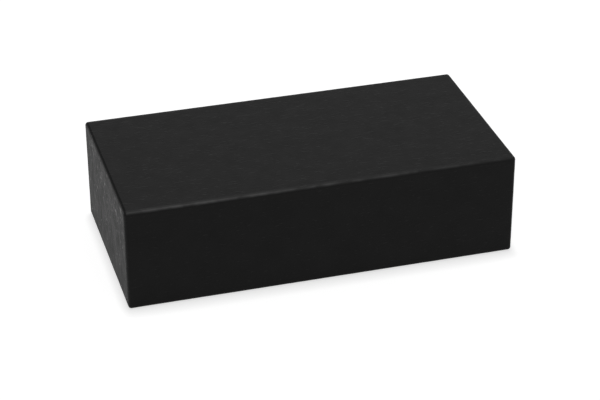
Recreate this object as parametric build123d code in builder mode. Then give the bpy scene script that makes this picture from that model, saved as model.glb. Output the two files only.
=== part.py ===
from build123d import *

import os

# Sliding drawer gift box of rigid board covered with paper: a sleeve with a closed left end and an
# open right end, and a tray that fills it and slides out to the right, drawn by a finger hole.
# Millimetres. +X runs along the box, +Y from the front wall to the rear wall, and +Z up.
# The origin is the middle of the underside.

os.makedirs("parts", exist_ok=True)

# ---- Driving dimensions ----

box_length = 220.0
box_width = 110.0
box_height = 60.0

sleeve_board = 2.0  # greyboard of the sleeve
tray_board = 2.0  # greyboard of the tray
wrap = 0.3  # black covering paper
lining = 0.2  # paper pasted inside the sleeve
tape = 0.15  # gummed stay tape, pressed into the boards
base_sheet = 0.3  # sheet pasted under the sleeve
floor_card = 0.8  # card on the floor of the tray

board_edge_radius = 1.35  # the boards' outer edges, as pressed round under the tape

side_clearance = 0.4  # between the tray and the sleeve's turn-ins, each side
under_clearance = 0.3
over_clearance = 0.4
end_clearance = 0.5  # between the tray and the sleeve's closed end
end_setback = 0.3  # the tray's right end stands this far inside the mouth

turn_in = 15.0  # how far the wrap reaches along the inside of the mouth
turn_in_taper = 2.0  # what each corner of a side turn-in is cut back by, at its far end
seam_gap = 0.4  # between the wrap's long edges, along the middle of the underside
lining_gap = 0.4  # between the lining's long edges, along the middle of the floor
base_sheet_margin = 2.0
base_sheet_corner = 1.5

tape_leg = 12.0  # each half of a folded stay tape
tape_end_gap = 3.0  # from the end of a tape to the end of its boards
tape_spacing = 1.0  # between the tapes of the closed end and those of the long corners

floor_flap = 10.0  # how far the tray's wrap reaches onto its floor
flap_mitre_gap = 0.6
floor_card_clearance = 0.2
lap_from_corner = 2.2  # the end panels' cut edges, from the corners they stop short of
lap_groove_width = 0.25
lap_groove_depth = 0.12
finger_hole = 20.0  # diameter of the hole punched through the tray's right end

# ---- Sleeve sizes, from the outside in ----

wrap_bottom = base_sheet
wrap_height = box_height - wrap_bottom
wrap_radius = board_edge_radius + tape + wrap
inner_fold_radius = 2 * wrap  # paper folded over a sharp arris rounds to twice its thickness

core_length = box_length - 2 * wrap
core_width = box_width - 2 * wrap
core_height = wrap_height - 2 * wrap
core_bottom = wrap_bottom + wrap
core_top = core_bottom + core_height
core_mid = (core_bottom + core_top) / 2
core_radius = board_edge_radius + tape

bore_width = core_width - 2 * (sleeve_board + lining)
bore_height = core_height - 2 * (sleeve_board + lining)
mouth_width = bore_width - 2 * wrap
mouth_height = bore_height - 2 * wrap
mouth_bottom = core_mid - mouth_height / 2
mouth_top = core_mid + mouth_height / 2
sleeve_tape_length = core_length - 2 * tape_end_gap
closed_end = -core_length / 2 + sleeve_board + lining  # inner face of the closed end
mouth_end = core_length / 2

# ---- Tray sizes, from the outside in ----

tray_right = box_length / 2 - end_setback
tray_left = closed_end + end_clearance
tray_length = tray_right - tray_left
tray_mid = (tray_left + tray_right) / 2
tray_width = mouth_width - 2 * side_clearance
tray_bottom = mouth_bottom + under_clearance
tray_top = mouth_top - over_clearance
tray_height = tray_top - tray_bottom

tray_core_length = tray_length - 2 * wrap
tray_core_width = tray_width - 2 * wrap
tray_core_bottom = tray_bottom + wrap
tray_core_height = tray_height - 2 * wrap

tray_floor = tray_core_bottom + tray_board
tray_wall_height = tray_core_height - tray_board
tray_bore_length = tray_core_length - 2 * tray_board
tray_bore_width = tray_core_width - 2 * tray_board
tray_inside_length = tray_bore_length - 2 * wrap
tray_inside_width = tray_bore_width - 2 * wrap
tray_tape_height = tray_wall_height - 2 * tape_end_gap
flap_mitre = (floor_flap - flap_mitre_gap) * 2**0.5
finger_hole_z = (tray_bottom + tray_top) / 2
tray_plane = Plane(origin=(tray_mid, 0, 0))

# ---- Sections of the stay tapes, which the boards are pressed in to take ----

with BuildSketch() as sleeve_tape_section:
    RectangleRounded(core_width, core_height, core_radius)
    RectangleRounded(
        core_width - 2 * tape, core_height - 2 * tape, board_edge_radius, mode=Mode.SUBTRACT
    )
    Rectangle(core_width - 2 * tape_leg, core_height, mode=Mode.SUBTRACT)
    Rectangle(core_width, core_height - 2 * tape_leg, mode=Mode.SUBTRACT)

with BuildSketch() as tray_tape_section:
    RectangleRounded(tray_core_length, tray_core_width, core_radius)
    RectangleRounded(
        tray_core_length - 2 * tape, tray_core_width - 2 * tape, board_edge_radius, mode=Mode.SUBTRACT
    )
    Rectangle(tray_core_length - 2 * tape_leg, tray_core_width, mode=Mode.SUBTRACT)
    Rectangle(tray_core_length, tray_core_width - 2 * tape_leg, mode=Mode.SUBTRACT)

sleeve_tape_plane = Plane.YZ.offset(-sleeve_tape_length / 2)
tray_tape_plane = tray_plane.offset(tray_floor + tape_end_gap)

# ---- Stay tapes of the sleeve's closed end: folded strips that tie it to the four long boards ----

closed_end_tapes = []
for level, up in (("top", 1), ("bottom", -1)):
    with BuildPart() as sleeve_tape:
        with BuildSketch(Plane.XZ):
            with Locations((0, core_mid)):
                RectangleRounded(core_length, core_height, core_radius)
                RectangleRounded(
                    core_length - 2 * tape, core_height - 2 * tape, board_edge_radius, mode=Mode.SUBTRACT
                )
            with Locations((-core_length / 2, core_mid + up * core_height / 2)):
                Rectangle(2 * tape_leg, 2 * tape_leg, mode=Mode.INTERSECT)
        extrude(amount=core_width / 2 - tape_leg - tape_spacing, both=True)
    sleeve_tape.part.label = f"sleeve_tape_left_{level}"
    export_step(sleeve_tape.part, f"parts/sleeve_tape_left_{level}.step")
    closed_end_tapes.append(sleeve_tape.part)

for wall, back in (("front", -1), ("rear", 1)):
    with BuildPart() as sleeve_tape:
        with BuildSketch(Plane.XY.offset(core_mid)):
            RectangleRounded(core_length, core_width, core_radius)
            RectangleRounded(
                core_length - 2 * tape, core_width - 2 * tape, board_edge_radius, mode=Mode.SUBTRACT
            )
            with Locations((-core_length / 2, back * core_width / 2)):
                Rectangle(2 * tape_leg, 2 * tape_leg, mode=Mode.INTERSECT)
        extrude(amount=core_height / 2 - tape_leg - tape_spacing, both=True)
    sleeve_tape.part.label = f"sleeve_tape_left_{wall}"
    export_step(sleeve_tape.part, f"parts/sleeve_tape_left_{wall}.step")
    closed_end_tapes.append(sleeve_tape.part)

# ---- Sleeve boards: top and bottom run over the edges of front and rear, round the closed end ----

for name, side in (("top", 1), ("bottom", -1)):
    outer = -1 if side > 0 else 0
    with BuildPart() as sleeve_flat_board:
        with BuildSketch(Plane.YZ.offset(-core_length / 2)):
            with Locations((0, core_mid + side * (core_height - sleeve_board) / 2)):
                Rectangle(core_width, sleeve_board)
        extrude(amount=core_length)
        outer_face = sleeve_flat_board.faces().sort_by(Axis.Z)[outer]
        upright_edges = sleeve_flat_board.edges().filter_by(Axis.Z)
        fillet(outer_face.edges() + upright_edges, core_radius)
        with BuildSketch(sleeve_tape_plane):
            with Locations((0, core_mid)):
                add(sleeve_tape_section.sketch)
        extrude(amount=sleeve_tape_length, mode=Mode.SUBTRACT)
        add(closed_end_tapes, mode=Mode.SUBTRACT)
    sleeve_flat_board.part.label = f"sleeve_{name}_board"
    export_step(sleeve_flat_board.part, f"parts/sleeve_{name}_board.step")

for name, side in (("front", -1), ("rear", 1)):
    outer = -1 if side > 0 else 0
    with BuildPart() as sleeve_wall_board:
        with BuildSketch(Plane.YZ.offset(-core_length / 2)):
            with Locations((side * (core_width - sleeve_board) / 2, core_mid)):
                Rectangle(sleeve_board, core_height - 2 * sleeve_board)
        extrude(amount=core_length)
        end_edges = sleeve_wall_board.edges().filter_by(Axis.Z).group_by(Axis.Y)[outer]
        fillet(end_edges, core_radius)
        with BuildSketch(sleeve_tape_plane):
            with Locations((0, core_mid)):
                add(sleeve_tape_section.sketch)
        extrude(amount=sleeve_tape_length, mode=Mode.SUBTRACT)
        add(closed_end_tapes, mode=Mode.SUBTRACT)
    sleeve_wall_board.part.label = f"sleeve_{name}_board"
    export_step(sleeve_wall_board.part, f"parts/sleeve_{name}_board.step")

with BuildPart() as sleeve_left_end_board:
    with BuildSketch(Plane.YZ.offset(-core_length / 2)):
        with Locations((0, core_mid)):
            Rectangle(core_width - 2 * sleeve_board, core_height - 2 * sleeve_board)
    extrude(amount=sleeve_board)
    add(closed_end_tapes, mode=Mode.SUBTRACT)
sleeve_left_end_board.part.label = "sleeve_left_end_board"
export_step(sleeve_left_end_board.part, "parts/sleeve_left_end_board.step")

# ---- Stay tapes of the sleeve's long corners: one folded strip along each ----

for level, up in (("top", 1), ("bottom", -1)):
    for wall, back in (("front", -1), ("rear", 1)):
        with BuildPart() as sleeve_tape:
            with BuildSketch(sleeve_tape_plane):
                with Locations((0, core_mid)):
                    add(sleeve_tape_section.sketch)
                with Locations((back * core_width / 2, core_mid + up * core_height / 2)):
                    Rectangle(2 * tape_leg, 2 * tape_leg, mode=Mode.INTERSECT)
            extrude(amount=sleeve_tape_length)
        sleeve_tape.part.label = f"sleeve_tape_{level}_{wall}"
        export_step(sleeve_tape.part, f"parts/sleeve_tape_{level}_{wall}.step")

# ---- Sleeve lining: one sheet round the inside of the boards, and one on the closed end ----

with BuildPart() as sleeve_lining:
    with BuildSketch(Plane.YZ.offset(closed_end - lining)):
        with Locations((0, core_mid)):
            Rectangle(bore_width + 2 * lining, bore_height + 2 * lining)
            Rectangle(bore_width, bore_height, mode=Mode.SUBTRACT)
        with Locations((0, core_mid - (bore_height + lining) / 2)):
            Rectangle(lining_gap, lining, mode=Mode.SUBTRACT)
    extrude(amount=mouth_end - closed_end + lining)
sleeve_lining.part.label = "sleeve_lining"
export_step(sleeve_lining.part, "parts/sleeve_lining.step")

with BuildPart() as sleeve_end_lining:
    with BuildSketch(Plane.YZ.offset(closed_end - lining)):
        with Locations((0, core_mid)):
            Rectangle(bore_width, bore_height)
    extrude(amount=lining)
sleeve_end_lining.part.label = "sleeve_end_lining"
export_step(sleeve_end_lining.part, "parts/sleeve_end_lining.step")

# ---- Sleeve wrap: one sheet round the boards, folded over the left end and turned in at the mouth ----

with BuildPart() as sleeve_core:
    with BuildSketch(Plane.YZ.offset(-core_length / 2)):
        with Locations((0, core_mid)):
            Rectangle(core_width, core_height)
    extrude(amount=core_length)
    fillet(sleeve_core.edges(), core_radius)
    with BuildSketch(Plane.YZ.offset(closed_end)):
        with Locations((0, core_mid)):
            Rectangle(bore_width, bore_height)
    extrude(amount=mouth_end - closed_end, mode=Mode.SUBTRACT)

with BuildPart() as sleeve_wrap:
    with BuildSketch(Plane.YZ.offset(-box_length / 2)):
        with Locations((0, core_mid)):
            Rectangle(box_width, wrap_height)
    extrude(amount=box_length)
    fillet(sleeve_wrap.edges(), wrap_radius)
    with BuildSketch(Plane.YZ.offset(closed_end)):
        with Locations((0, core_mid)):
            Rectangle(mouth_width, mouth_height)
    extrude(amount=box_length, mode=Mode.SUBTRACT)
    mouth_face = sleeve_wrap.faces().sort_by(Axis.X)[-1]
    fillet(mouth_face.inner_wires()[0].edges(), inner_fold_radius)
    add(sleeve_core.part, mode=Mode.SUBTRACT)
    # past the turn-in the wrap is on the outside only
    with BuildSketch(Plane.YZ.offset(closed_end)):
        with Locations((0, core_mid)):
            Rectangle(bore_width, bore_height)
    extrude(amount=mouth_end - turn_in - closed_end, mode=Mode.SUBTRACT)
    # the front and rear turn-ins taper, so that they lie flat inside the corners
    with BuildSketch(Plane.XZ):
        for level in (-1, 1):
            corner_z = core_mid + level * mouth_height / 2
            with BuildLine():
                Polyline(
                    (mouth_end, corner_z),
                    (mouth_end - turn_in, corner_z),
                    (mouth_end - turn_in, corner_z - level * turn_in_taper),
                    close=True,
                )
            make_face()
    extrude(amount=bore_width / 2, both=True, mode=Mode.SUBTRACT)
    # the sheet's long edges meet under the box
    with BuildSketch(Plane.YZ.offset(-core_length / 2 + core_radius)):
        with Locations((0, (wrap_bottom + mouth_bottom) / 2)):
            Rectangle(seam_gap, mouth_bottom - wrap_bottom)
    extrude(amount=box_length, mode=Mode.SUBTRACT)
    # the flap that closes the left end folds down from the top, with a cut edge on its other three sides
    with BuildSketch(Plane.YZ.offset(-box_length / 2)):
        with Locations((0, wrap_bottom + lap_from_corner)):
            Rectangle(
                box_width - 2 * lap_from_corner + lap_groove_width,
                box_height - wrap_radius - wrap_bottom - lap_from_corner,
                align=(Align.CENTER, Align.MIN),
            )
        with Locations((0, wrap_bottom + lap_from_corner + lap_groove_width)):
            Rectangle(
                box_width - 2 * lap_from_corner - lap_groove_width,
                box_height,
                align=(Align.CENTER, Align.MIN),
                mode=Mode.SUBTRACT,
            )
    extrude(amount=lap_groove_depth, mode=Mode.SUBTRACT)
sleeve_wrap.part.label = "sleeve_wrap"
export_step(sleeve_wrap.part, "parts/sleeve_wrap.step")

# ---- Sleeve base sheet: covers the seam, and the box stands on it ----

with BuildPart() as sleeve_base_sheet:
    with BuildSketch():
        RectangleRounded(
            box_length - 2 * base_sheet_margin, box_width - 2 * base_sheet_margin, base_sheet_corner
        )
    extrude(amount=base_sheet)
sleeve_base_sheet.part.label = "sleeve_base_sheet"
export_step(sleeve_base_sheet.part, "parts/sleeve_base_sheet.step")

# ---- Tray boards: the walls stand on the base, and the ends fit between the long walls ----

with BuildPart() as drawer_base_board:
    with BuildSketch(tray_plane.offset(tray_core_bottom)):
        Rectangle(tray_core_length, tray_core_width)
    extrude(amount=tray_board)
    under_face = drawer_base_board.faces().sort_by(Axis.Z)[0]
    fillet(under_face.edges() + drawer_base_board.edges().filter_by(Axis.Z), core_radius)
drawer_base_board.part.label = "drawer_base_board"
export_step(drawer_base_board.part, "parts/drawer_base_board.step")

for name, side in (("front", -1), ("rear", 1)):
    outer = -1 if side > 0 else 0
    with BuildPart() as drawer_wall_board:
        with BuildSketch(tray_plane.offset(tray_floor)):
            with Locations((0, side * (tray_core_width - tray_board) / 2)):
                Rectangle(tray_core_length, tray_board)
        extrude(amount=tray_wall_height)
        corner_edges = drawer_wall_board.edges().filter_by(Axis.Z).group_by(Axis.Y)[outer]
        rim_face = drawer_wall_board.faces().sort_by(Axis.Z)[-1]
        rim_edges = rim_face.edges().filter_by(Axis.X).group_by(Axis.Y)[outer]
        end_rim_edges = rim_face.edges().filter_by(Axis.Y)
        fillet(corner_edges + rim_edges + end_rim_edges, core_radius)
        with BuildSketch(tray_tape_plane):
            add(tray_tape_section.sketch)
        extrude(amount=tray_tape_height, mode=Mode.SUBTRACT)
    drawer_wall_board.part.label = f"drawer_{name}_wall_board"
    export_step(drawer_wall_board.part, f"parts/drawer_{name}_wall_board.step")

# a finger hole is punched through the right end once it is covered
with BuildPart() as finger_punch:
    with BuildSketch(Plane.YZ.offset(tray_right)):
        with Locations((0, finger_hole_z)):
            Circle(finger_hole / 2)
    extrude(amount=-(tray_length - tray_inside_length) / 2)

for name, side in (("left", -1), ("right", 1)):
    outer = -1 if side > 0 else 0
    with BuildPart() as drawer_end_board:
        with BuildSketch(tray_plane.offset(tray_floor)):
            with Locations((side * (tray_core_length - tray_board) / 2, 0)):
                Rectangle(tray_board, tray_bore_width)
        extrude(amount=tray_wall_height)
        rim_face = drawer_end_board.faces().sort_by(Axis.Z)[-1]
        fillet(rim_face.edges().filter_by(Axis.Y).group_by(Axis.X)[outer], core_radius)
        with BuildSketch(tray_tape_plane):
            add(tray_tape_section.sketch)
        extrude(amount=tray_tape_height, mode=Mode.SUBTRACT)
        if side > 0:
            add(finger_punch.part, mode=Mode.SUBTRACT)
    drawer_end_board.part.label = f"drawer_{name}_end_board"
    export_step(drawer_end_board.part, f"parts/drawer_{name}_end_board.step")

# ---- Tray stay tapes: one folded strip round each upright corner ----

for end, along in (("left", -1), ("right", 1)):
    for wall, back in (("front", -1), ("rear", 1)):
        with BuildPart() as drawer_tape:
            with BuildSketch(tray_tape_plane):
                add(tray_tape_section.sketch)
                with Locations((along * tray_core_length / 2, back * tray_core_width / 2)):
                    Rectangle(2 * tape_leg, 2 * tape_leg, mode=Mode.INTERSECT)
            extrude(amount=tray_tape_height)
        drawer_tape.part.label = f"drawer_tape_{end}_{wall}"
        export_step(drawer_tape.part, f"parts/drawer_tape_{end}_{wall}.step")

# ---- Tray wrap: under the base, up the outside, over the rim, down the inside, onto the floor ----

with BuildPart() as tray_core:
    with BuildSketch(tray_plane.offset(tray_core_bottom)):
        Rectangle(tray_core_length, tray_core_width)
    extrude(amount=tray_core_height)
    fillet(tray_core.edges(), core_radius)
    with BuildSketch(tray_plane.offset(tray_floor)):
        Rectangle(tray_bore_length, tray_bore_width)
    extrude(amount=tray_wall_height, mode=Mode.SUBTRACT)

with BuildPart() as drawer_wrap:
    with BuildSketch(tray_plane.offset(tray_bottom)):
        Rectangle(tray_length, tray_width)
    extrude(amount=tray_height)
    fillet(drawer_wrap.edges(), wrap_radius)
    with BuildSketch(tray_plane.offset(tray_top)):
        Rectangle(tray_inside_length, tray_inside_width)
    extrude(amount=tray_floor + wrap - tray_top, mode=Mode.SUBTRACT)
    rim_face = drawer_wrap.faces().sort_by(Axis.Z)[-1]
    fillet(rim_face.inner_wires()[0].edges(), inner_fold_radius)
    add(tray_core.part, mode=Mode.SUBTRACT)
    # the floor is bare board inside the four flaps, whose ends are mitred
    with BuildSketch(tray_plane.offset(tray_floor)):
        Rectangle(tray_inside_length - 2 * floor_flap, tray_inside_width - 2 * floor_flap)
        for along in (-1, 1):
            for back in (-1, 1):
                mitre_x = along * (tray_inside_length / 2 - floor_flap)
                mitre_y = back * (tray_inside_width / 2 - floor_flap)
                with Locations((mitre_x, mitre_y)):
                    Rectangle(2 * flap_mitre, flap_mitre_gap, rotation=45 * along * back)
    extrude(amount=wrap, mode=Mode.SUBTRACT)
    # the end panels are pasted over the side panels' tabs, with a cut edge near each corner
    with BuildSketch(tray_plane.offset(tray_bottom)):
        with GridLocations(tray_length, tray_width - 2 * lap_from_corner, 2, 2):
            Rectangle(2 * lap_groove_depth, lap_groove_width)
    extrude(amount=tray_height, mode=Mode.SUBTRACT)
    add(finger_punch.part, mode=Mode.SUBTRACT)
drawer_wrap.part.label = "drawer_wrap"
export_step(drawer_wrap.part, "parts/drawer_wrap.step")

# ---- Tray floor liner: a card over the floor and the flaps, pressed down between them ----

with BuildPart() as drawer_floor_liner:
    with BuildSketch(tray_plane.offset(tray_floor)):
        Rectangle(
            tray_inside_length - 2 * (floor_flap + floor_card_clearance),
            tray_inside_width - 2 * (floor_flap + floor_card_clearance),
        )
    extrude(amount=wrap)
    with BuildSketch(tray_plane.offset(tray_floor + wrap)):
        Rectangle(
            tray_inside_length - 2 * floor_card_clearance,
            tray_inside_width - 2 * floor_card_clearance,
        )
    extrude(amount=floor_card)
drawer_floor_liner.part.label = "drawer_floor_liner"
export_step(drawer_floor_liner.part, "parts/drawer_floor_liner.step")
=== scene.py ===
import math

import bmesh
import bpy
from mathutils import Matrix, Vector


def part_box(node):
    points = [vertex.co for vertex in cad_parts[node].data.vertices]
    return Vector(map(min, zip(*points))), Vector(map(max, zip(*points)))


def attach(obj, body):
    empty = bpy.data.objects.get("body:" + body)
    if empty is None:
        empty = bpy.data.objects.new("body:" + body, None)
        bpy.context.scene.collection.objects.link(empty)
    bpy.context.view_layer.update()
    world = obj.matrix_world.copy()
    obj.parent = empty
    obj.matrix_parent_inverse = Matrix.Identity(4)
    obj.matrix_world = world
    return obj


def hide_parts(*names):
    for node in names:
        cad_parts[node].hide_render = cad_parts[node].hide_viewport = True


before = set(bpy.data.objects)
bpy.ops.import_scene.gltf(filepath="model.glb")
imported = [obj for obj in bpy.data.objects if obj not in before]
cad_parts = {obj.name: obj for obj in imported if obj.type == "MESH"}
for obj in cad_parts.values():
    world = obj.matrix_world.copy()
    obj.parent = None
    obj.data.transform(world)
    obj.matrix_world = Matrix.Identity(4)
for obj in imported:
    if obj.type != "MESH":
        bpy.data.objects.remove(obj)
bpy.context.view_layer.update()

# Sliding drawer gift box: rigid greyboard covered with fine-grained black paper. A sleeve with a
# closed left end holds a tray that slides out to the right. Metres; +X along the box, +Z up.

scene = bpy.context.scene
MM = 0.001


# ---- Camera ----
# A long lens in front of the box, a little to its left and about 30 degrees above it. The aim, the
# distance and the slight tilt come from the box's nine visible edges in the photograph.

camera_azimuth = math.radians(-15.91)
camera_elevation = math.radians(29.74)
camera_roll = math.radians(-0.27)
camera_distance = 1.1348
camera_aim = Vector((0.00176, 0.0, 0.02032))
camera_lens = 119.49  # in millimetres, on a 36 mm sensor

camera_turn = (
    Matrix.Rotation(camera_azimuth, 4, "Z")
    @ Matrix.Rotation(math.pi / 2 - camera_elevation, 4, "X")
    @ Matrix.Rotation(camera_roll, 4, "Z")
)
bpy.ops.object.select_all(action="DESELECT")
bpy.ops.object.camera_add(
    location=camera_aim + camera_turn @ Vector((0, 0, camera_distance)),
    rotation=camera_turn.to_euler(),
)
camera = bpy.context.object
camera.name = "camera"
camera.data.lens = camera_lens
camera.data.sensor_width = 36
camera.data.clip_start = 0.05
camera.data.clip_end = 50
scene.camera = camera


# ---- Studio ----
# A white sweep of paper under a small softbox, which hangs high over the table and a little behind it.
# It gives the narrow shadow at the foot of the box. The room is white behind the table, greyer higher up.

room_level = 0.35  # how strongly the room lights the box
room_upper_grey = 0.76  # the upper part as the box reflects it, where 1 is white
room_white_top = 0.05  # sine of the elevation up to which the room is white
room_grey_from = 0.35  # sine of the elevation from which it is grey
lamp_watts = 27.6
lamp_place = (0.015, 0.195, 3.0)
lamp_width = 0.25
lamp_length = 0.5
floor_half = 6.0
floor_pale = "#d2d2d2"  # the sweep where it is seen directly
floor_bounce = "#cfcfcf"  # the sweep as it throws light back on the box
floor_glow = 0.66  # added where it is seen directly, so that all but the shadow is white

scene.view_settings.view_transform = "Standard"


def linear(hex_colour, alpha=1.0):
    """An sRGB hex colour as the linear values that the shaders take."""
    channels = [int(hex_colour[i : i + 2], 16) / 255 for i in (1, 3, 5)]
    return [c / 12.92 if c <= 0.04045 else ((c + 0.055) / 1.055) ** 2.4 for c in channels] + [alpha]


def add_node(tree, kind, settings=None, inputs=None, links=None):
    """A node with its settings, its input values by name or number, and links from other sockets."""
    node = tree.nodes.new(kind)
    for name, value in (settings or {}).items():
        setattr(node, name, value)
    for name, value in (inputs or {}).items():
        node.inputs[name].default_value = value
    for name, source in (links or {}).items():
        tree.links.new(source, node.inputs[name])
    return node


def empty_material(name):
    """A new material without nodes yet, and its node tree."""
    material = bpy.data.materials.new(name)
    material.use_nodes = True
    material.node_tree.nodes.clear()
    return material, material.node_tree


def cover(piece, *materials):
    """Gives a piece its materials, in the order of its material slots."""
    piece.data.materials.clear()
    for material in materials:
        piece.data.materials.append(material)


def seen_directly(tree):
    """1 for camera, glossy and transmission rays, which meet the studio's white, and 0 for the rest."""
    rays = add_node(tree, "ShaderNodeLightPath")
    camera_or_glossy = add_node(
        tree,
        "ShaderNodeMath",
        {"operation": "MAXIMUM"},
        links={0: rays.outputs["Is Camera Ray"], 1: rays.outputs["Is Glossy Ray"]},
    )
    return add_node(
        tree,
        "ShaderNodeMath",
        {"operation": "MAXIMUM"},
        links={0: camera_or_glossy.outputs[0], 1: rays.outputs["Is Transmission Ray"]},
    ).outputs[0]


white = linear("#ffffff")
room = bpy.data.worlds.new("pale_room")
scene.world = room
room.use_nodes = True
tree = room.node_tree
tree.nodes.clear()
room_direction = add_node(tree, "ShaderNodeTexCoord").outputs["Generated"]
room_height = add_node(tree, "ShaderNodeSeparateXYZ", links={0: room_direction}).outputs["Z"]
room_fade = add_node(
    tree,
    "ShaderNodeMapRange",
    {"interpolation_type": "SMOOTHSTEP"},
    inputs={
        "From Min": room_white_top,
        "From Max": room_grey_from,
        "To Min": 1.0,
        "To Max": room_upper_grey,
    },
    links={"Value": room_height},
).outputs[0]
room_white = add_node(tree, "ShaderNodeBackground", inputs={"Color": white}, links={"Strength": room_fade})
room_fill = add_node(tree, "ShaderNodeBackground", inputs={"Color": white, "Strength": room_level})
room_mix = add_node(
    tree,
    "ShaderNodeMixShader",
    links={0: seen_directly(tree), 1: room_fill.outputs[0], 2: room_white.outputs[0]},
)
add_node(tree, "ShaderNodeOutputWorld", links={"Surface": room_mix.outputs[0]})

bpy.ops.object.select_all(action="DESELECT")
bpy.ops.object.light_add(type="AREA", location=lamp_place)
softbox = bpy.context.object
softbox.name = "softbox"
softbox.data.shape = "RECTANGLE"
softbox.data.size = lamp_width
softbox.data.size_y = lamp_length
softbox.data.energy = lamp_watts

bpy.ops.object.select_all(action="DESELECT")
bpy.ops.mesh.primitive_plane_add(size=2 * floor_half, location=(0, 0, 0))
floor = bpy.context.object
floor.name = "floor"
sweep, tree = empty_material("white_sweep_paper")
sweep.cycles.emission_sampling = "NONE"
sweep_lit = add_node(tree, "ShaderNodeBsdfDiffuse", inputs={"Color": linear(floor_pale)})
sweep_glow = add_node(tree, "ShaderNodeEmission", inputs={"Color": white, "Strength": floor_glow})
sweep_seen = add_node(tree, "ShaderNodeAddShader", links={0: sweep_lit.outputs[0], 1: sweep_glow.outputs[0]})
sweep_bounce = add_node(tree, "ShaderNodeBsdfDiffuse", inputs={"Color": linear(floor_bounce)})
sweep_mix = add_node(
    tree,
    "ShaderNodeMixShader",
    links={0: seen_directly(tree), 1: sweep_bounce.outputs[0], 2: sweep_seen.outputs[0]},
)
add_node(tree, "ShaderNodeOutputMaterial", links={"Surface": sweep_mix.outputs[0]})
cover(floor, sweep)


# ---- Sleeve wrap ----
# One sheet of black covering paper, pasted round the sleeve's boards: its long edges meet under the
# box, its left end is folded shut with a flap over tabs, and its right edge is turned in at the mouth.

sheet = 0.15 * MM  # the paper itself, without its paste
sleeve_rim = 2.8 * MM  # paper, board, lining and the turned-in paper
turn_in = 15.3 * MM
turn_in_taper = 2 * MM
outer_fold = 1.8 * MM
outer_fold_steps = 8
inner_fold = 0.6 * MM
inner_fold_steps = 3
seam_gap = 0.4 * MM
bottom_room = 0.5 * MM  # above the mouth's lower side, as far as faces count as the bottom wall's
lap_margin = 2.2 * MM  # what a flap's cut edges stop short of the corners
lap_step = 0.1 * MM
mitre_width = 0.3 * MM
mitre_depth = 0.1 * MM
mitre_room = 1 * MM  # past the rim, so that a mitre is cut right across its corner
grid = 3 * MM
end_grid = 1.2 * MM
fold_border = 0.8 * MM  # two strips beside each fold have their own rows of points
skin = 0.3 * MM  # points nearer than this to an outer face belong to it
slack = 0.02 * MM  # places nearer to each other than this are the same
sag = 0.05 * MM  # how far the paste lets the paper sink in places
sag_width = 22 * MM
fold_sag = 0.15 * MM
fold_sag_width = 5 * MM
flat_power = 8  # how soon the sag of the flats gives way to that of the folds
lump_depth = 0.1 * MM  # of the lumps over the tabs that are pasted down on the closed end
lump_width = 4.5 * MM
crease = math.radians(35)  # what turns more sharply than this is a cut edge and no fold
wear_and_highlight_turn = 35  # degrees from level, where a long fold is painted palest, as rubbed wear and a painted highlight
wear_and_highlight_spread = 42
wear_and_highlight_reach = 1.2 * MM  # how far past a fold the wear and the painted highlight can lie
score_turn = 42  # degrees from level, as far as the score goes round the fold
score_drop = 1 * MM  # and how far it goes down from the top
facing = 0.9  # part of a face's normal along an axis, from which the face looks that way
flat_facing = 0.99  # the same for a face that is flat
end_lean = 0.3  # part of a normal along the box, from which it belongs to an end


def near(a, b):
    """Whether two places are the same."""
    return abs(a - b) < slack


def between(a, start, end):
    """Whether a place lies from start to end."""
    return start - slack < a < end + slack


def on_box(a, low, high, count):
    """Whether a point lies on that many of a box's faces."""
    return sum(near(a[i], low[i]) or near(a[i], high[i]) for i in range(3)) >= count


def box_start(name, node):
    """A box as large as a CAD node, in edit mode, to be shaped into the piece that replaces it."""
    low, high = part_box(node)
    bpy.ops.object.select_all(action="DESELECT")
    bpy.ops.mesh.primitive_cube_add(size=1, location=(low + high) / 2)
    piece = bpy.context.object
    piece.name = name
    piece.scale = high - low
    bpy.ops.object.transform_apply(location=True, rotation=False, scale=True)
    bpy.ops.object.mode_set(mode="EDIT")
    return piece


def pick(piece, kind, wanted):
    """Selects the faces, edges or points for which wanted is true. It is given a face's middle and
    normal, an edge's two ends, or a point."""
    bpy.ops.mesh.select_mode(type=kind)
    bpy.ops.mesh.select_all(action="DESELECT")
    shape = bmesh.from_edit_mesh(piece.data)
    shape.normal_update()
    if kind == "FACE":
        for face in shape.faces:
            face.select_set(bool(wanted(face.calc_center_median(), face.normal)))
    elif kind == "EDGE":
        for edge in shape.edges:
            edge.select_set(bool(wanted(edge.verts[0].co, edge.verts[1].co)))
    else:
        for point in shape.verts:
            point.select_set(bool(wanted(point)))
    shape.select_flush_mode()
    bmesh.update_edit_mesh(piece.data)


def pick_line(piece, on_line):
    """Selects the edges that have both ends on a line."""
    pick(piece, "EDGE", lambda a, b: on_line(a) and on_line(b))


def cut_faces(piece, wanted, at, normal):
    """Cuts the chosen faces along a plane."""
    pick(piece, "FACE", wanted)
    bpy.ops.mesh.bisect(plane_co=at, plane_no=normal)


def round_folds(piece, low, high):
    """Rounds the twelve outer edges of a box as paper folded over board."""
    pick_line(piece, lambda a: on_box(a, low, high, 3))
    bpy.ops.mesh.bevel(offset=outer_fold, segments=outer_fold_steps, affect="EDGES")


def grid_up(piece, low, high, axes, spacing, wanted=None):
    """Cuts a box's flat sides into a grid that is fine enough for the paper's unevenness."""
    for axis in axes:
        start = low[axis] + outer_fold
        length = high[axis] - low[axis] - 2 * outer_fold
        steps = round(length / spacing)
        normal = [float(i == axis) for i in range(3)]
        cuts = [start + length * step / steps for step in range(steps + 1)]
        for strip in (fold_border, 2 * fold_border):
            cuts += [start + strip, start + length - strip]
        for cut in cuts:
            at = [0.0, 0.0, 0.0]
            at[axis] = cut
            if wanted:
                pick(piece, "FACE", lambda c, n: wanted(c))
            else:
                bpy.ops.mesh.select_all(action="SELECT")
            bpy.ops.mesh.bisect(plane_co=at, plane_no=normal)


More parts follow.
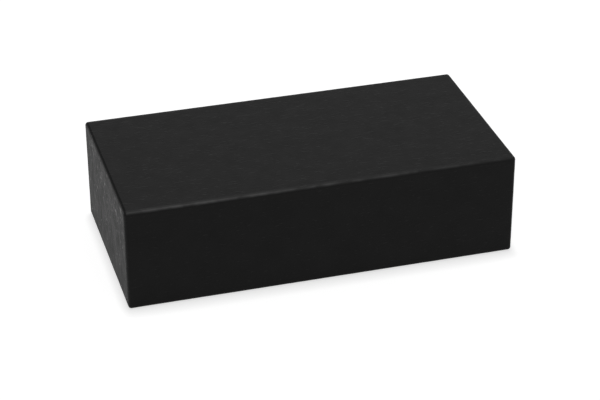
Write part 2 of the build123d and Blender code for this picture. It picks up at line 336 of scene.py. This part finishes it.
def cut_mitres(piece, axis, low, high, rim):
    """Presses a fine line across each corner of a rim, where the slit corners of the turn-in meet."""
    across = [i for i in range(3) if i != axis]
    for ends in ((low, low), (low, high), (high, low), (high, high)):
        corner = high.copy()
        slant = Vector((0, 0, 0))
        for i, end in zip(across, ends):
            corner[i] = end[i]
        slant[across[0]] = 1 if ends[0] is high else -1
        slant[across[1]] = -1 if ends[1] is high else 1
        slant.normalize()

        def at_corner(c):
            return c[axis] > high[axis] - inner_fold and all(
                abs(c[i] - corner[i]) < rim + mitre_room for i in across
            )

        def on_mitre(a):
            return at_corner(a) and near(slant.dot(a - corner), 0) and a[axis] > high[axis] - skin

        for shift in (-mitre_width / 2, 0, mitre_width / 2):
            cut_faces(piece, lambda c, n: at_corner(c), corner + slant * shift, slant)
        pick(piece, "VERT", lambda p: on_mitre(p.co))
        down = [0, 0, 0]
        down[axis] = -mitre_depth
        bpy.ops.transform.translate(value=down)


def free_edge(piece, on_edge, end_x, under, step):
    """Cuts the paper open along a flap's edge, and lowers the paper that the flap laps over."""
    pick_line(piece, on_edge)
    bpy.ops.mesh.edge_split(type="EDGE")
    pick(
        piece,
        "VERT",
        lambda p: near(p.co.x, end_x) and all(under(f.calc_center_median()) for f in p.link_faces),
    )
    bpy.ops.transform.translate(value=(step, 0, 0))


def uneven(piece, name, width, depth, group):
    """Lets the paper sink by up to a depth, in soft patches of a width."""
    waves = bpy.data.textures.get(name) or bpy.data.textures.new(name, "CLOUDS")
    waves.noise_scale = width
    waves.noise_depth = 1
    bumps = piece.modifiers.new(name, "DISPLACE")
    bumps.texture = waves
    bumps.texture_coords = "OBJECT"
    bumps.strength = depth
    bumps.mid_level = 1
    bumps.vertex_group = group
    bpy.ops.object.modifier_apply(modifier=name)


def thicken_paper(piece):
    """Makes the shaped skin a sheet: uneven where it is pasted, and as thick as the paper."""
    bpy.ops.object.mode_set(mode="OBJECT")
    flats = piece.vertex_groups.new(name="flats")
    folds = piece.vertex_groups.new(name="folds")
    for point in piece.data.vertices:
        flat = max(abs(part) for part in point.normal) ** flat_power
        flats.add([point.index], flat, "REPLACE")
        folds.add([point.index], 1 - flat, "REPLACE")
    uneven(piece, "paste", sag_width, sag, "flats")
    uneven(piece, "fold_waves", fold_sag_width, fold_sag, "folds")
    thick = piece.modifiers.new("sheet", "SOLIDIFY")
    thick.thickness = sheet
    thick.offset = -1
    thick.use_even_offset = True
    bpy.ops.object.modifier_apply(modifier="sheet")


def store(piece, name, values):
    """Stores one number at each point of a piece, for its material."""
    piece.data.attributes.new(name, "FLOAT", "POINT").data.foreach_set("value", values)


def mark_folds(piece, low, high):
    """Stores at each point how far the paper turns out of the flat there, and how much paler its long folds
    are painted: rubbed wear, and a painted highlight on their upper side.
    """
    mid_fold = math.sqrt(0.5)  # the largest part of a normal halfway round a fold
    fold, wear_and_highlight = [], []
    for point in piece.data.vertices:
        flat = max(abs(part) for part in point.normal)
        inset = max(min(abs(point.co[i] - low[i]), abs(high[i] - point.co[i])) for i in (1, 2))
        turn = math.degrees(math.acos(min(1, abs(point.normal.z))))
        long_fold = inset < outer_fold + wear_and_highlight_reach and abs(point.normal.x) < end_lean
        fold.append(min(1, (1 - flat) / (1 - mid_fold)))
        # the long folds are painted paler here, as rubbed wear and as a painted highlight, most at a set turn
        # from level
        wear_and_highlight.append(max(0, 1 - abs(turn - wear_and_highlight_turn) / wear_and_highlight_spread) if long_fold else 0)
    store(piece, "fold", fold)
    store(piece, "wear_and_highlight", wear_and_highlight)


def smooth_paper(piece, low, high):
    """Shades the folds round and the cut edges sharp, and marks the folds."""
    bpy.ops.object.shade_smooth_by_angle(angle=crease)
    even = piece.modifiers.new("even", "WEIGHTED_NORMAL")
    even.keep_sharp = True
    bpy.ops.object.modifier_apply(modifier="even")
    mark_folds(piece, low, high)


low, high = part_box("sleeve_wrap")
mouth_low = low + Vector((0, sleeve_rim, sleeve_rim))
mouth_high = high - Vector((0, sleeve_rim, sleeve_rim))
flap_y = high.y - lap_margin
flap_z = low.z + lap_margin
flap_cuts = (
    ((0, flap_y, 0), (0, 1, 0)),
    ((0, -flap_y, 0), (0, 1, 0)),
    ((0, 0, flap_z), (0, 0, 1)),
)


def at_mouth_corner(a):
    """Whether a point is one of the mouth's four corners."""
    at_level = near(a.z, mouth_low.z) or near(a.z, mouth_high.z)
    return near(a.x, high.x) and near(abs(a.y), mouth_high.y) and at_level


def in_turn_in_corner(a, b):
    """Whether an edge runs along one of the turn-in's four inner corners."""
    start, end = sorted((a.x, b.x))
    lengthwise = near(a.y, b.y) and near(a.z, b.z)
    return lengthwise and near(start, high.x - turn_in) and near(end, high.x - inner_fold)


def on_flap_edge(a):
    """Whether a point is on one of the flap's three cut edges."""
    on_side = near(abs(a.y), flap_y) and between(a.z, flap_z, high.z - outer_fold)
    on_foot = near(a.z, flap_z) and between(abs(a.y), 0, flap_y)
    return near(a.x, low.x) and (on_side or on_foot)


def under_flap(c):
    """Whether a place on the closed end is past the flap's cut edges, on the tabs."""
    return c.z < high.z - outer_fold and (abs(c.y) > flap_y or c.z < flap_z)


def on_bottom(c):
    """Whether a place is on the sleeve's bottom wall, clear of the closed end."""
    return c.z < mouth_low.z + bottom_room and c.x > low.x + outer_fold


# the mouth, with the paper turned in behind its rim
sleeve_paper = box_start("sleeve_covering_paper", "sleeve_wrap")
pick(sleeve_paper, "FACE", lambda c, n: n.x > facing)
bpy.ops.mesh.inset(thickness=sleeve_rim, depth=0)
bpy.ops.mesh.extrude_region_move(TRANSFORM_OT_translate={"value": (-turn_in, 0, 0)})
bpy.ops.mesh.delete(type="FACE")
round_folds(sleeve_paper, low, high)
pick_line(sleeve_paper, at_mouth_corner)
bpy.ops.mesh.bevel(offset=inner_fold, segments=inner_fold_steps, affect="EDGES")

# the front and rear turn-ins taper, so that they lie flat inside the corners
pick(sleeve_paper, "EDGE", in_turn_in_corner)
bpy.ops.mesh.edge_split(type="EDGE")
for level, corner_z in ((1, mouth_low.z), (-1, mouth_high.z)):
    pick(
        sleeve_paper,
        "VERT",
        lambda p: near(p.co.x, high.x - turn_in)
        and near(p.co.z, corner_z)
        and all(abs(f.normal.y) > facing for f in p.link_faces),
    )
    bpy.ops.transform.translate(value=(0, 0, level * turn_in_taper))

# the grid, the mitres, and the edges of the flap on the closed end
grid_up(sleeve_paper, low, high, (0, 1, 2), grid)
grid_up(sleeve_paper, low, high, (1, 2), end_grid, lambda c: c.x < low.x + outer_fold)
cut_mitres(sleeve_paper, 0, low, high, sleeve_rim)
for at, normal in flap_cuts:
    cut_faces(sleeve_paper, lambda c, n: n.x < -flat_facing, at, normal)
free_edge(sleeve_paper, on_flap_edge, low.x, under_flap, lap_step)

# the sheet's long edges meet under the box
for side in (-1, 1):
    cut_faces(sleeve_paper, lambda c, n: on_bottom(c), (0, side * seam_gap / 2, 0), (0, 1, 0))
pick(sleeve_paper, "FACE", lambda c, n: abs(c.y) < seam_gap / 2 and on_bottom(c))
bpy.ops.mesh.delete(type="FACE")

# the lumps over the tabs of the closed end
bpy.ops.object.mode_set(mode="OBJECT")
closed_end = sleeve_paper.vertex_groups.new(name="closed_end")
on_tabs = [float(point.co.x < low.x + skin) for point in sleeve_paper.data.vertices]
closed_end.add([i for i, on_tab in enumerate(on_tabs) if on_tab], 1, "REPLACE")
store(sleeve_paper, "tabs", on_tabs)
uneven(sleeve_paper, "tab_lumps", lump_width, lump_depth, "closed_end")
thicken_paper(sleeve_paper)
smooth_paper(sleeve_paper, low, high)

# The covering paper is black all through, uncoated and embossed with a fine leathery grain. It is matt, so
# it shines only at a low angle, where the grain, its short raised dashes and the lumps in the paste below
# stand out. The folding bone has pressed its folds smoother. The long folds are painted paler along their
# upper side, most of all at the left: partly rubbed wear, partly a painted highlight. On the closed end,
# hands have polished it in patches and specks.
paper_black = "#0d0d0d"
paper_fleck = "#171717"
# the pale of the long folds: rubbed wear, and a painted highlight
paper_wear_and_highlight = "#5c5c5c"
paper_ior = 1.22  # its open surface shines less than the fibres, which are near 1.5
scored_ior = 1.12
grain = 1.1 * MM  # the real grain is about 0.4 mm, too fine to show
grain_height = 0.08 * MM
dash_length = 4 * MM
dash_width = 1.1 * MM
dash_height = 0.1 * MM
dash_levels = (0.64, 0.72)  # noise levels at which a dash starts and is full
lumps = 5 * MM
lump_height = 0.4 * MM
lump_share = 0.25  # of their height away from the tabs
patches = 10 * MM
patch_levels = (0.3, 0.7)
flat_roughness = (0.55, 0.61)
fold_roughness = 0.4
rubs = 9 * MM
rub_levels = (0.35, 0.65)
rub_roughness = (0.65, 0.55)
speck_length = 3 * MM
speck_height = 2.5 * MM
speck_roughness = 0.3
speck_levels = (0.68, 0.55)  # noise levels at which specks start, low and high on the closed end
speck_rise = (15 * MM, 56 * MM)  # what low and high mean there
speck_full = 0.76
wear_and_highlight_levels = (0.36, 0.6)
least_wear_and_highlight = 0.4  # of the full wear and painted highlight, in the patches where they are weakest
right_wear_and_highlight = 0.18  # of the full wear and painted highlight, at the right end

covering_paper, tree = empty_material("embossed_black_covering_paper")
place = add_node(tree, "ShaderNodeTexCoord").outputs["Object"]
place_parts = add_node(tree, "ShaderNodeSeparateXYZ", links={0: place})
fold_amount = add_node(tree, "ShaderNodeAttribute", {"attribute_name": "fold"}).outputs["Fac"]
tab_amount = add_node(tree, "ShaderNodeAttribute", {"attribute_name": "tabs"}).outputs["Fac"]
wear_and_highlight_amount = add_node(tree, "ShaderNodeAttribute", {"attribute_name": "wear_and_highlight"}).outputs["Fac"]
patch_noise = add_node(
    tree,
    "ShaderNodeTexNoise",
    inputs={"Scale": 1 / patches, "Detail": 2.0, "Roughness": 0.5},
    links={"Vector": place},
).outputs["Fac"]

# the relief: lumps, then dashes, then grain
lump_noise = add_node(
    tree,
    "ShaderNodeTexNoise",
    inputs={"Scale": 1 / lumps, "Detail": 3.0, "Roughness": 0.6},
    links={"Vector": place},
).outputs["Fac"]
lump_strength = add_node(
    tree,
    "ShaderNodeMapRange",
    inputs={"To Min": lump_share, "To Max": 1.0},
    links={"Value": tab_amount},
).outputs[0]
lump_bump = add_node(
    tree,
    "ShaderNodeBump",
    inputs={"Distance": lump_height},
    links={"Height": lump_noise, "Strength": lump_strength},
).outputs[0]
dash_place = add_node(
    tree,
    "ShaderNodeMapping",
    inputs={"Scale": (1 / dash_length, 1 / dash_width, 1 / dash_width)},
    links={"Vector": place},
).outputs[0]
dash_noise = add_node(
    tree,
    "ShaderNodeTexNoise",
    inputs={"Scale": 1.0, "Detail": 1.0},
    links={"Vector": dash_place},
).outputs["Fac"]
dashes = add_node(
    tree,
    "ShaderNodeMapRange",
    inputs={"From Min": dash_levels[0], "From Max": dash_levels[1]},
    links={"Value": dash_noise},
).outputs[0]
dash_bump = add_node(
    tree,
    "ShaderNodeBump",
    inputs={"Strength": 0.8, "Distance": dash_height},
    links={"Height": dashes, "Normal": lump_bump},
).outputs[0]
grain_noise = add_node(
    tree,
    "ShaderNodeTexNoise",
    inputs={"Scale": 1 / grain, "Detail": 2.0, "Roughness": 0.6},
    links={"Vector": place},
).outputs["Fac"]
grain_bump = add_node(
    tree,
    "ShaderNodeBump",
    inputs={"Strength": 1.0, "Distance": grain_height},
    links={"Height": grain_noise, "Normal": dash_bump},
).outputs[0]

# the colour: black, with the dashes paler, and the long folds painted paler as wear and as a highlight
left_end = add_node(
    tree,
    "ShaderNodeMapRange",
    inputs={"From Min": low.x, "From Max": high.x, "To Min": 1.0, "To Max": right_wear_and_highlight},
    links={"Value": place_parts.outputs["X"]},
).outputs[0]
wear_and_highlight_patches = add_node(
    tree,
    "ShaderNodeMapRange",
    inputs={"From Min": wear_and_highlight_levels[0], "From Max": wear_and_highlight_levels[1], "To Min": least_wear_and_highlight, "To Max": 1.0},
    links={"Value": patch_noise},
).outputs[0]
left_wear_and_highlight = add_node(
    tree,
    "ShaderNodeMath",
    {"operation": "MULTIPLY"},
    links={0: wear_and_highlight_amount, 1: left_end},
).outputs[0]
wear_and_highlight_mix = add_node(tree, "ShaderNodeMath", {"operation": "MULTIPLY"}, links={0: left_wear_and_highlight, 1: wear_and_highlight_patches}).outputs[0]
flecked = add_node(
    tree,
    "ShaderNodeMix",
    {"data_type": "RGBA"},
    inputs={6: linear(paper_black), 7: linear(paper_fleck)},
    links={"Factor": dashes},
).outputs[2]
# the long folds' pale, part rubbed wear and part painted highlight, mixed over the black
colour = add_node(
    tree,
    "ShaderNodeMix",
    {"data_type": "RGBA"},
    inputs={7: linear(paper_wear_and_highlight)},
    links={"Factor": wear_and_highlight_mix, 6: flecked},
).outputs[2]

# the roughness: patchy on the flats, polished in specks on the closed end, smoother on the folds
flat_rough = add_node(
    tree,
    "ShaderNodeMapRange",
    inputs={
        "From Min": patch_levels[0],
        "From Max": patch_levels[1],
        "To Min": flat_roughness[0],
        "To Max": flat_roughness[1],
    },
    links={"Value": patch_noise},
).outputs[0]
rub_noise = add_node(
    tree,
    "ShaderNodeTexNoise",
    inputs={"Scale": 1 / rubs, "Detail": 4.0, "Roughness": 0.65},
    links={"Vector": place},
).outputs["Fac"]
rub_rough = add_node(
    tree,
    "ShaderNodeMapRange",
    inputs={
        "From Min": rub_levels[0],
        "From Max": rub_levels[1],
        "To Min": rub_roughness[0],
        "To Max": rub_roughness[1],
    },
    links={"Value": rub_noise},
).outputs[0]
speck_place = add_node(
    tree,
    "ShaderNodeMapping",
    inputs={"Scale": (1 / speck_length, 1 / speck_length, 1 / speck_height)},
    links={"Vector": place},
).outputs[0]
speck_noise = add_node(
    tree,
    "ShaderNodeTexNoise",
    inputs={"Scale": 1.0, "Detail": 2.0},
    links={"Vector": speck_place},
).outputs["Fac"]
speck_start = add_node(
    tree,
    "ShaderNodeMapRange",
    inputs={
        "From Min": speck_rise[0],
        "From Max": speck_rise[1],
        "To Min": speck_levels[0],
        "To Max": speck_levels[1],
    },
    links={"Value": place_parts.outputs["Z"]},
).outputs[0]
specks = add_node(
    tree,
    "ShaderNodeMapRange",
    inputs={"From Max": speck_full},
    links={"Value": speck_noise, "From Min": speck_start},
).outputs[0]
tab_rough = add_node(
    tree,
    "ShaderNodeMix",
    {"data_type": "FLOAT"},
    inputs={3: speck_roughness},
    links={"Factor": specks, 2: rub_rough},
).outputs[0]
paper_rough = add_node(
    tree,
    "ShaderNodeMix",
    {"data_type": "FLOAT"},
    links={"Factor": tab_amount, 2: flat_rough, 3: tab_rough},
).outputs[0]
rough = add_node(
    tree,
    "ShaderNodeMix",
    {"data_type": "FLOAT"},
    inputs={3: fold_roughness},
    links={"Factor": fold_amount, 2: paper_rough},
).outputs[0]
paper_shader = add_node(
    tree,
    "ShaderNodeBsdfPrincipled",
    inputs={"IOR": paper_ior},
    links={"Base Color": colour, "Roughness": rough, "Normal": grain_bump},
)
add_node(tree, "ShaderNodeOutputMaterial", links={"Surface": paper_shader.outputs[0]})

# Where the flap is scored and folded down from the top, the paper's surface is broken and shines less.
scored_paper = covering_paper.copy()
scored_paper.name = "scored_black_covering_paper"
scored_paper.node_tree.nodes[paper_shader.name].inputs["IOR"].default_value = scored_ior

cover(sleeve_paper, covering_paper, scored_paper)
for face in sleeve_paper.data.polygons:
    turn = math.degrees(math.acos(max(-1, min(1, face.normal.z))))
    on_fold = face.center.x < low.x + outer_fold and face.center.z > high.z - score_drop
    if on_fold and turn < score_turn:
        face.material_index = 1
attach(sleeve_paper, "sleeve")
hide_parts("sleeve_wrap")


# ---- Sleeve base sheet ----
# A plain rectangle of the covering paper, pasted under the box over the seam of the wrap. It stops short
# of the folds, so its cut edge shows all round the underside.

cover(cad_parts["sleeve_base_sheet"], covering_paper)


# ---- Drawer wrap ----
# One sheet of the same paper under and round the tray: up the outside, over the rim, down the inside
# and onto the floor in four mitred flaps. A finger hole is punched through its right end.

drawer_rim = 2.6 * MM
floor_card_depth = 0.8 * MM
flap = 10 * MM
flap_mitre_gap = 0.6 * MM
inside_fold = 0.4 * MM
inside_fold_steps = 2
hole_radius = 10 * MM
hole_steps = 64
punch_length = 4 * drawer_rim

low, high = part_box("drawer_wrap")
middle = (low + high) / 2
floor_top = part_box("drawer_floor_liner")[1].z - floor_card_depth
well_low = Vector((low.x + drawer_rim, low.y + drawer_rim, floor_top))
well_high = Vector((high.x - drawer_rim, high.y - drawer_rim, high.z))
lap_y = high.y - lap_margin
lap_low = low.z + outer_fold
lap_high = high.z - outer_fold


def at_well_corner(a, level):
    """Whether a point is one of the well's four corners at a level."""
    at_x = near(a.x, well_low.x) or near(a.x, well_high.x)
    at_y = near(a.y, well_low.y) or near(a.y, well_high.y)
    return near(a.z, level) and at_x and at_y


# the well, with its floor open between the flaps
drawer_paper = box_start("drawer_covering_paper", "drawer_wrap")
pick(drawer_paper, "FACE", lambda c, n: n.z > facing)
bpy.ops.mesh.inset(thickness=drawer_rim, depth=0)
bpy.ops.mesh.extrude_region_move(TRANSFORM_OT_translate={"value": (0, 0, floor_top - high.z)})
bpy.ops.mesh.inset(thickness=flap, depth=0)
bpy.ops.mesh.delete(type="FACE")
round_folds(drawer_paper, low, high)
pick_line(drawer_paper, lambda a: at_well_corner(a, high.z))
bpy.ops.mesh.bevel(offset=inner_fold, segments=inner_fold_steps, affect="EDGES")
pick_line(drawer_paper, lambda a: at_well_corner(a, floor_top))
bpy.ops.mesh.bevel(offset=inside_fold, segments=inside_fold_steps, affect="EDGES")
grid_up(drawer_paper, low, high, (0, 1, 2), grid)
cut_mitres(drawer_paper, 2, low, high, drawer_rim)

# the corners of the four floor flaps are cut to a mitre
for x, inward_x in ((well_low.x, 1), (well_high.x, -1)):
    for y, inward_y in ((well_low.y, 1), (well_high.y, -1)):
        corner = Vector((x, y, floor_top))
        slant = Vector((inward_x, -inward_y, 0)).normalized()

        def at_flap_corner(c):
            return (
                floor_top - slack < c.z < floor_top + inside_fold
                and between((c.x - x) * inward_x, 0, flap)
                and between((c.y - y) * inward_y, 0, flap)
            )

        def in_mitre_gap(c):
            return at_flap_corner(c) and abs(slant.dot(c - corner)) < flap_mitre_gap / 2

        for side in (-1, 1):
            gap_edge = corner + slant * side * flap_mitre_gap / 2
            cut_faces(drawer_paper, lambda c, n: at_flap_corner(c), gap_edge, slant)
        pick(drawer_paper, "FACE", lambda c, n: in_mitre_gap(c))
        bpy.ops.mesh.delete(type="FACE")

# the end panels lap over the tabs of the walls
for y in (-lap_y, lap_y):
    cut_faces(
        drawer_paper,
        lambda c, n: abs(n.x) > flat_facing and on_box(c, low, high, 1),
        (0, y, 0),
        (0, 1, 0),
    )
for end_x, step in ((low.x, lap_step), (high.x, -lap_step)):
    free_edge(
        drawer_paper,
        lambda a: near(a.x, end_x) and near(abs(a.y), lap_y) and between(a.z, lap_low, lap_high),
        end_x,
        lambda c: abs(c.y) > lap_y and lap_low < c.z < lap_high,
        step,
    )
thicken_paper(drawer_paper)

# the finger hole
bpy.ops.object.select_all(action="DESELECT")
bpy.ops.mesh.primitive_cylinder_add(
    vertices=hole_steps,
    radius=hole_radius,
    depth=punch_length,
    location=(high.x, 0, middle.z),
    rotation=(0, math.pi / 2, 0),
)
punch = bpy.context.object
bpy.ops.object.select_all(action="DESELECT")
drawer_paper.select_set(True)
bpy.context.view_layer.objects.active = drawer_paper
hole = drawer_paper.modifiers.new("finger_hole", "BOOLEAN")
hole.operation = "DIFFERENCE"
hole.object = punch
bpy.ops.object.modifier_apply(modifier="finger_hole")
bpy.data.objects.remove(punch)
smooth_paper(drawer_paper, low, high)
cover(drawer_paper, covering_paper)
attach(drawer_paper, "drawer")
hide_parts("drawer_wrap")


# ---- Linings ----
# Thin smooth black paper, pasted on the inside of the sleeve's boards before they are wrapped. Under a
# calendered surface the fibres show only as a faint unevenness in its black.


def pulp_stock(name, colours, mottle, noise, relief, surface):
    """A paper or board of plain pulp: a dark and a pale shade in soft patches, which also stand out."""
    material, tree = empty_material(name)
    place = add_node(tree, "ShaderNodeTexCoord").outputs["Object"]
    patches = add_node(
        tree,
        "ShaderNodeTexNoise",
        inputs={"Scale": 1 / mottle, **noise},
        links={"Vector": place},
    ).outputs["Fac"]
    colour = add_node(
        tree,
        "ShaderNodeMix",
        {"data_type": "RGBA"},
        inputs={6: linear(colours[0]), 7: linear(colours[1])},
        links={"Factor": patches},
    ).outputs[2]
    bump = add_node(tree, "ShaderNodeBump", inputs=relief, links={"Height": patches}).outputs[0]
    shader = add_node(
        tree,
        "ShaderNodeBsdfPrincipled",
        inputs=surface,
        links={"Base Color": colour, "Normal": bump},
    )
    add_node(tree, "ShaderNodeOutputMaterial", links={"Surface": shader.outputs[0]})
    return material


lining_paper = pulp_stock(
    "smooth_black_lining_paper",
    colours=("#101010", "#181818"),
    mottle=2.5 * MM,
    noise={"Detail": 4.0, "Roughness": 0.65},
    relief={"Strength": 0.6, "Distance": 0.03 * MM},
    surface={"IOR": 1.3, "Roughness": 0.6},
)
for name in ("sleeve_lining", "sleeve_end_lining"):
    cover(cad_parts[name], lining_paper)


# ---- Drawer floor card ----
# A black card, cut to the tray's floor and pasted over the flaps of its wrap. It is uncoated, so it is
# duller than the paper round it, with a cloudy black.

floor_card = pulp_stock(
    "uncoated_black_card",
    colours=("#121213", "#1b1b1c"),
    mottle=3 * MM,
    noise={"Detail": 5.0, "Roughness": 0.7},
    relief={"Strength": 0.7, "Distance": 0.04 * MM},
    surface={"IOR": 1.25, "Roughness": 0.7},
)
cover(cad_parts["drawer_floor_liner"], floor_card)


# ---- Boards ----
# Solid greyboard of pressed waste paper, grey-brown with flecks of its fibres. It shows only where the
# finger hole is punched through it.

greyboard = pulp_stock(
    "pressed_greyboard",
    colours=("#6c675e", "#8d887e"),
    mottle=0.8 * MM,
    noise={"Detail": 4.0, "Roughness": 0.7},
    relief={"Strength": 0.8, "Distance": 0.08 * MM},
    surface={"IOR": 1.4, "Roughness": 0.85},
)
for name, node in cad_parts.items():
    if name.endswith("_board"):
        cover(node, greyboard)


# ---- Stay tapes ----
# Gummed kraft tape, folded along each corner of the boards and pressed in flush under the paper. Its
# unbleached pulp is brown, with darker fibres.

kraft_tape = pulp_stock(
    "gummed_kraft_tape",
    colours=("#8f6b46", "#a9825a"),
    mottle=1.5 * MM,
    noise={"Detail": 5.0, "Roughness": 0.7},
    relief={"Strength": 0.6, "Distance": 0.03 * MM},
    surface={"IOR": 1.4, "Roughness": 0.7},
)
for name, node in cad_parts.items():
    if "_tape_" in name:
        cover(node, kraft_tape)
